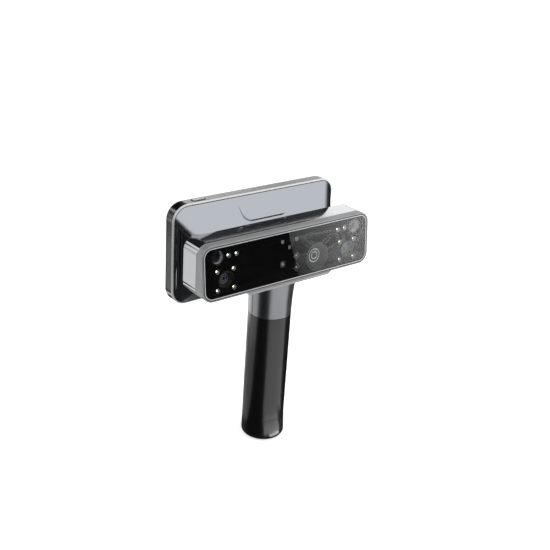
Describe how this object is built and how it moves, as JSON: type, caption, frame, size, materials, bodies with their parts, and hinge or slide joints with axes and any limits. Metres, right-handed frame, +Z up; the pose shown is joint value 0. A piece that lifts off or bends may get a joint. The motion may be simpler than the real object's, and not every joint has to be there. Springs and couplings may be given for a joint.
{
  "type": "handheld 3-d scanner",
  "caption": "Handheld T-shaped 3-D scanner: a wide glass-fronted camera bar, a sloped cowl behind it, a flat screen slab at the back, and a round black grip below.",
  "frame": {"origin": "centre of the grip's flat end, which the scanner stands on", "axes": "+Z up the grip axis, -Y the way the scanning glass faces, +X to the right seen from the front"},
  "size_m": [0.194, 0.0694, 0.2497],
  "materials": {
    "slab_paint": "cast tray under darker graphite paint with a satin gloss",
    "silver_paint": "cast shell under fine silver-grey metallic paint",
    "ring_paint": "cast ring under darker silver-grey metallic paint",
    "bright_trim": "bright cut edge, anodised",
    "front_glass": "polished cover glass",
    "screen_glass": "polished black cover glass",
    "black_print": "black print on the back of the glass",
    "vent_black": "fine matt moulding",
    "grip_black": "soft-touch satin coat",
    "cap_black": "fine matt moulding",
    "button_black": "satin moulding",
    "button_metal": "satin anodised",
    "barrel_black": "black anodised",
    "lens_glass": "coated lens glass",
    "bare_aluminium": "machined",
    "led_lens": "clear moulded lens over a pale chip",
    "window_grey": "polished window",
    "circuit_board": "solder-masked board",
    "panel_black": "moulded",
    "battery_wrap": "shrink-wrapped pack",
    "soft_seal": "moulded",
    "steel": "plated"
  },
  "bodies": {
    "scanner": {"bar_housing": "silver_paint", "bar_ring": "ring_paint", "bar_screws": "steel", "battery_pack": "battery_wrap", "bench_screws": "steel", "bezel_trim": "bright_trim", "board_screws": "steel", "centre_board": "circuit_board", "centre_camera_barrel": "barrel_black", "centre_camera_body": "bare_aluminium", "centre_camera_lens": "lens_glass", "chin_plate": "silver_paint", "contact_board": "circuit_board", "core_tube": "bare_aluminium", "display_gasket": "soft_seal", "display_glass": "screen_glass", "display_panel": "panel_black", "dot_emitters": "window_grey", "fan_housing": "panel_black", "front_cowl": "silver_paint", "front_glass": "front_glass", "glass_gasket": "soft_seal", "glass_mask": "black_print", "grip_sleeve": "grip_black", "heat_sink": "bare_aluminium", "housing_screws": "steel", "laser_modules": "window_grey", "left_camera_barrel": "barrel_black", "left_camera_body": "bare_aluminium", "left_camera_lens": "lens_glass", "left_led_board": "circuit_board", "left_leds": "led_lens", "left_projector": "bare_aluminium", "left_projector_lens": "lens_glass", "left_vent": "vent_black", "mainboard": "circuit_board", "neck_frame": "bare_aluminium", "neck_front": "silver_paint", "neck_rear": "silver_paint", "neck_screws": "steel", "optical_bench": "bare_aluminium", "power_switch": "panel_black", "range_sensor": "window_grey", "rear_housing": "slab_paint", "right_camera_barrel": "barrel_black", "right_camera_body": "bare_aluminium", "right_camera_lens": "lens_glass", "right_led_board": "circuit_board", "right_leds": "led_lens", "right_projector": "bare_aluminium", "right_projector_lens": "lens_glass", "right_vent": "vent_black", "rim_trim": "bright_trim", "scan_switch": "panel_black", "usb_socket": "steel"},
    "power_button": {"power_button": "button_metal"},
    "scan_button": {"scan_button": "button_black"},
    "fan_rotor": {"fan_rotor": "panel_black"},
    "base_cap": {"base_cap": "cap_black", "base_seal": "soft_seal"}
  },
  "joints": [
    {"name": "power_button_press", "type": "slide", "parent": "scanner", "child": "power_button", "axis": [0, 0, -1], "range_m": [0, 0.0006], "stiffness_N_per_m": 2500},
    {"name": "scan_button_press", "type": "slide", "parent": "scanner", "child": "scan_button", "axis": [0, -1, 0], "range_m": [0, 0.0012], "stiffness_N_per_m": 2000},
    {"name": "fan_spin", "type": "hinge", "parent": "scanner", "child": "fan_rotor", "pos_m": [0, 0.0173, 0.2], "axis": [0, 1, 0], "continuous": true},
    {"name": "base_cap_twist", "type": "hinge", "parent": "scanner", "child": "base_cap", "pos_m": [0, 0, 0], "axis": [0, 0, 1], "range_deg": [0, 90]}
  ]
}
